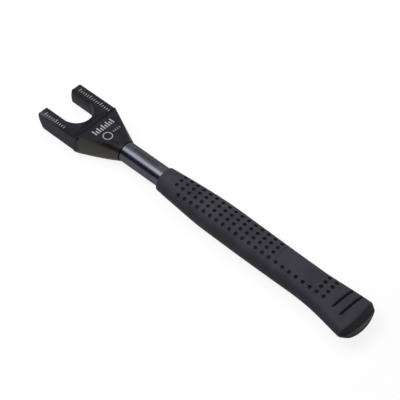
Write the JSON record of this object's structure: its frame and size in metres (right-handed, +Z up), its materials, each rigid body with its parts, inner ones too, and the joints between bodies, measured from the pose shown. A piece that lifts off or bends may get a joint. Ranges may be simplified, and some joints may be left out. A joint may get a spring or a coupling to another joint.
{
  "type": "open-jaw separator spanner",
  "caption": "Machined steel fork with a parallel jaw on a tubular steel handle with a dimpled, flared rubber grip; a hand tool for gripping and releasing studs.",
  "frame": {"origin": "centre of a round stud seated in the jaw, on the head's middle plane", "axes": "+X from the jaw along the handle to the butt, +Y across the jaw, +Z up out of the jaw's top face"},
  "size_m": [0.3982, 0.0612, 0.0282],
  "materials": {
    "head_steel": "black oxide, satin, machined and turned",
    "tube_steel": "dark bright drawn tube",
    "end_plug": "moulded",
    "grip_rubber": "matt moulded rubber"
  },
  "bodies": {
    "root": {"fork_head": "head_steel", "handle_tube": "tube_steel", "tube_end_plug": "end_plug", "rubber_grip": "grip_rubber"}
  },
  "joints": []
}
